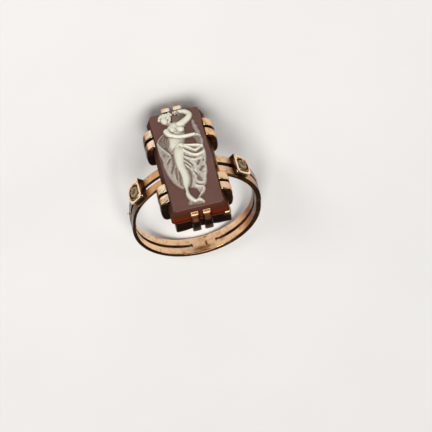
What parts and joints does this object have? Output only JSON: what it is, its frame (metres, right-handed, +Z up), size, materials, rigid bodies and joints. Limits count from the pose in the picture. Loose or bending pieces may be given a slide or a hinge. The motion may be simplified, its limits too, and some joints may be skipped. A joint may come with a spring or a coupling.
{
  "type": "cameo ring",
  "caption": "Finger ring with a split band, strap-held oblong cameo of a draped dancing figure in an open-backed head, and a small rose-cut stone on each shoulder",
  "frame": {"origin": "centre of the bounding box's base, on the surface that the ring lies on", "axes": "+Z up from the surface the ring lies on; the band leads back to +Y and the cameo faces -Y and up; X runs across the band, and the ring is near symmetric about the YZ plane"},
  "size_m": [0.0185, 0.0242, 0.0181],
  "materials": {
    "rose_gold": "worn polished rose gold with fine scratches, a little dark tarnish and a brown stain inside the band's bottom",
    "banded_sard": "polished brown-red sard that glows dark red at its lower edges, under a carved cream-white layer",
    "rose_cut_stone": "small old rose-cut stones, greyish and a little cloudy"
  },
  "bodies": {
    "root": {"ring_mount": "rose_gold", "cameo_stone": "banded_sard", "side_stone_left": "rose_cut_stone", "side_stone_right": "rose_cut_stone"}
  },
  "joints": []
}
